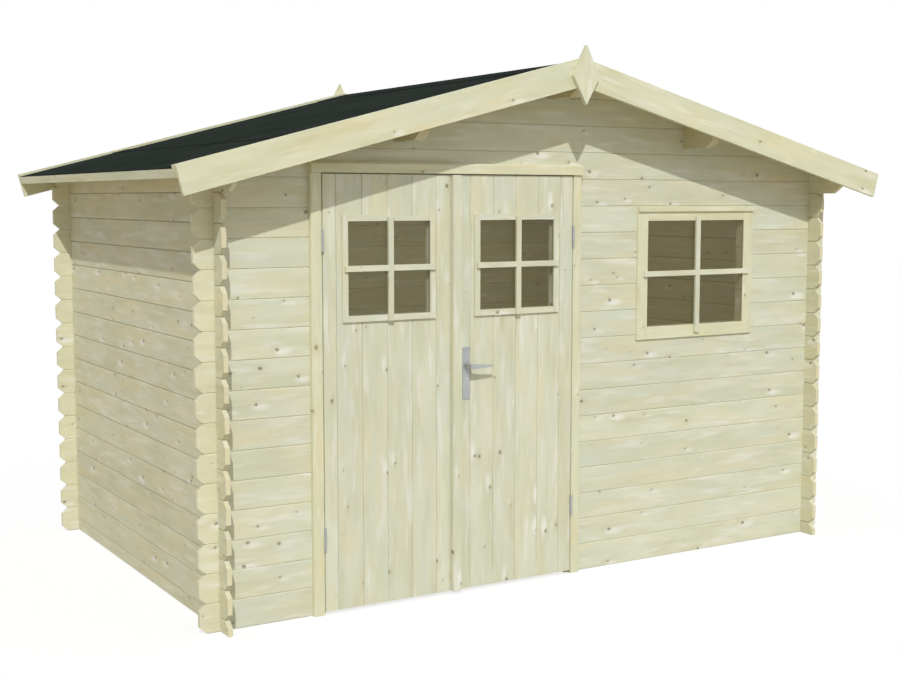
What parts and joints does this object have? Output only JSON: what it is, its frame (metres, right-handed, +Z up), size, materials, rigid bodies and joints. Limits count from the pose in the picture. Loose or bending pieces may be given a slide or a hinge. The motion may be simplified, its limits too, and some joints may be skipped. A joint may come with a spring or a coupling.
{
  "type": "tool shed",
  "caption": "Garden tool shed of interlocking pale wall logs with a low gable roof in dark felt, a glazed double door that swings outward and a window beside it.",
  "frame": {"origin": "on the ground, under the middle of the bounding box", "axes": "+X along the front wall towards its right end as seen from outside, +Y from the front to the back, +Z up"},
  "size_m": [3.47, 2.2478, 2.2464],
  "materials": {
    "log_wood": "untreated planed spruce, matte",
    "planed_wood": "untreated planed spruce, matte",
    "rough_wood": "untreated sawn spruce, matte",
    "roofing_felt": "mineral roofing felt, matte",
    "window_glass": "clear, faintly dim",
    "metal": "satin zinc"
  },
  "bodies": {
    "shed": {"left_wall": "log_wood", "right_wall": "log_wood", "back_wall": "log_wood", "back_gable": "log_wood", "front_wall_left": "log_wood", "front_wall_right": "log_wood", "front_gable": "log_wood", "ridge_purlin": "rough_wood", "left_purlin": "rough_wood", "right_purlin": "rough_wood", "left_roof_deck": "rough_wood", "right_roof_deck": "rough_wood", "left_roof_felt": "roofing_felt", "right_roof_felt": "roofing_felt", "left_eave_strip": "planed_wood", "right_eave_strip": "planed_wood", "front_left_barge": "planed_wood", "front_right_barge": "planed_wood", "back_left_barge": "planed_wood", "back_right_barge": "planed_wood", "front_verge_battens": "planed_wood", "back_verge_battens": "planed_wood", "front_finial": "planed_wood", "back_finial": "planed_wood", "left_door_jamb": "planed_wood", "right_door_jamb": "planed_wood", "door_head": "planed_wood", "window_casing": "planed_wood", "window_liner": "planed_wood", "window_glass": "window_glass", "window_drip": "planed_wood", "jamb_hinges": "metal"},
    "left_door": {"left_door_leaf": "planed_wood", "left_door_window_frame": "planed_wood", "left_door_glass": "window_glass", "left_door_ledges": "rough_wood", "left_door_hinges": "metal"},
    "right_door": {"right_door_leaf": "planed_wood", "right_door_window_frame": "planed_wood", "right_door_glass": "window_glass", "right_door_ledges": "rough_wood", "door_cover_strip": "planed_wood", "right_door_hinges": "metal", "handle_plates": "metal"},
    "lever": {"lever_handle": "metal"}
  },
  "joints": [
    {"name": "left_door_hinge", "type": "hinge", "parent": "shed", "child": "left_door", "pos_m": [-1.08963, -0.9179, 0.014], "axis": [0, 0, -1], "range_deg": [0, 140]},
    {"name": "right_door_hinge", "type": "hinge", "parent": "shed", "child": "right_door", "pos_m": [0.09137, -0.9179, 0.014], "axis": [0, 0, 1], "range_deg": [0, 160]},
    {"name": "lever_turn", "type": "hinge", "parent": "right_door", "child": "lever", "pos_m": [-0.44342, -0.9125, 0.948], "axis": [0, 1, 0], "range_deg": [0, 40], "stiffness_Nm_per_rad": 1, "springref_deg": -28.65}
  ]
}
